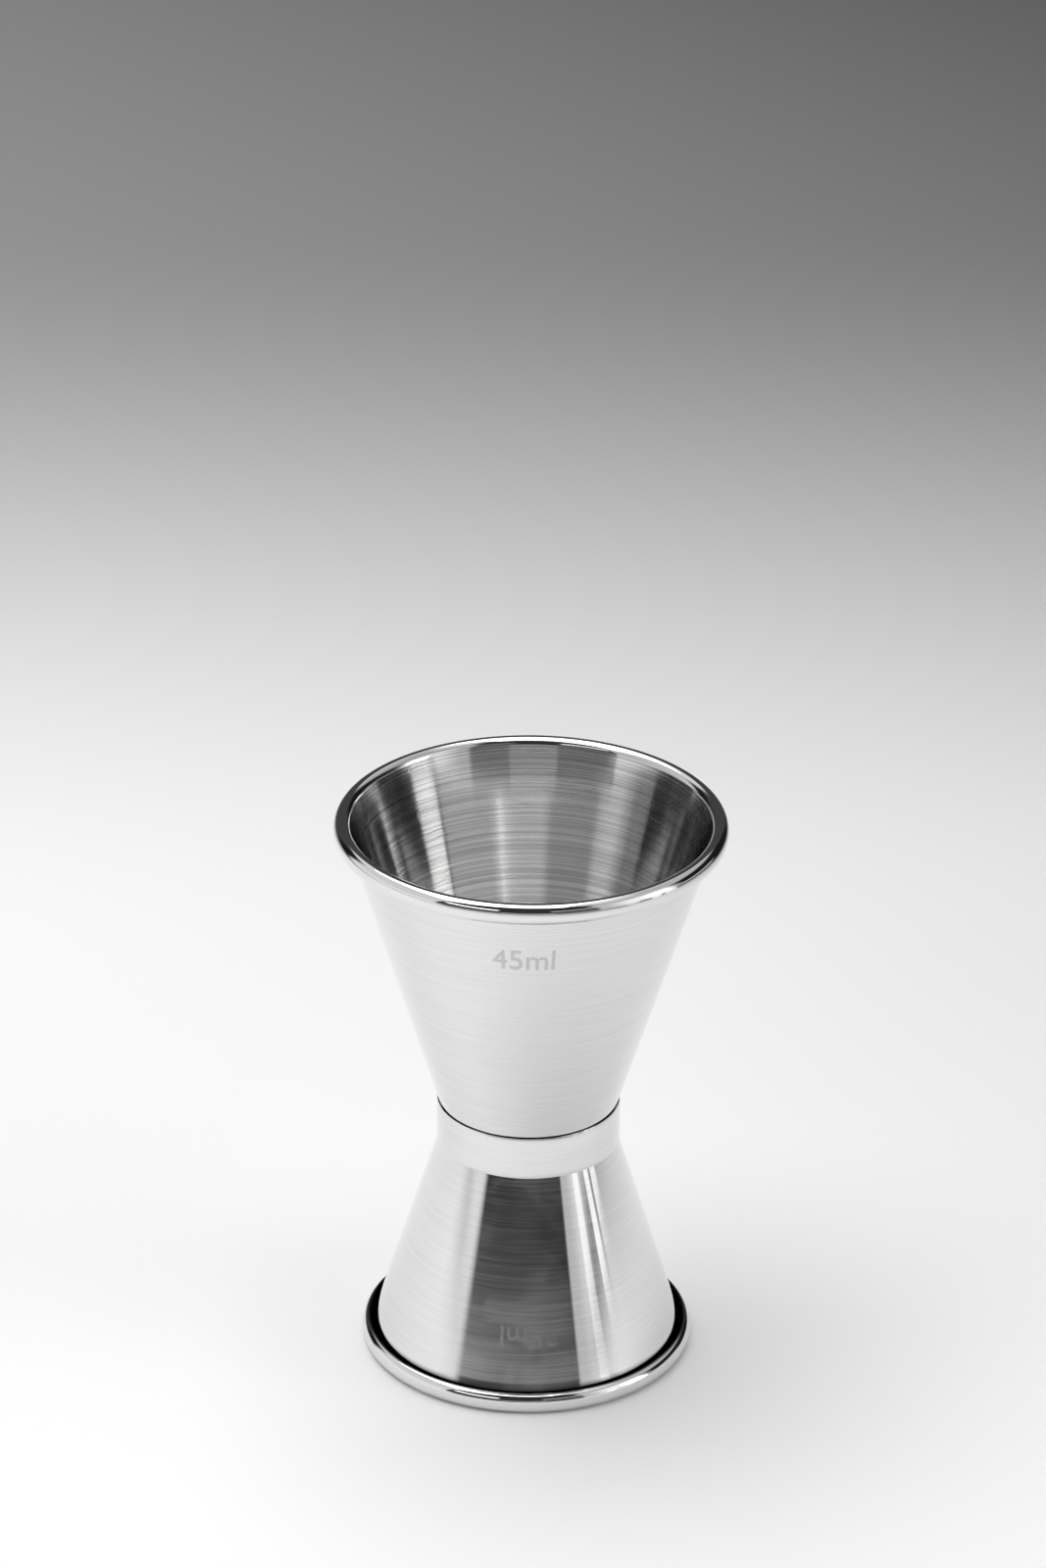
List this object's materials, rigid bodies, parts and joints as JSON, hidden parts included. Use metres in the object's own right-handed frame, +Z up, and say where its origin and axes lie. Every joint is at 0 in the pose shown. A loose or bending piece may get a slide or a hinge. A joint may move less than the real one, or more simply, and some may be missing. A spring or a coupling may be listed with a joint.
{
  "type": "cocktail jigger",
  "caption": "Measuring jigger of brushed steel: a large conical cup and a smaller one joined floor to floor, with rolled rims and a plain collar round the joint.",
  "frame": {"origin": "centre of the small cup's rim, on the surface that the jigger stands on", "axes": "+Z up along the common axis of the cups, from the small cup to the large cup; -Y is the side with the capacity marks"},
  "size_m": [0.053, 0.053, 0.0793],
  "materials": {
    "cup_steel": "brushed round the axis, rims polished",
    "collar_steel": "satin polished",
    "weld_steel": "as welded, hidden between the floors"
  },
  "bodies": {
    "root": {"large_cup": "cup_steel", "small_cup": "cup_steel", "collar": "collar_steel", "spot_welds": "weld_steel"}
  },
  "joints": []
}
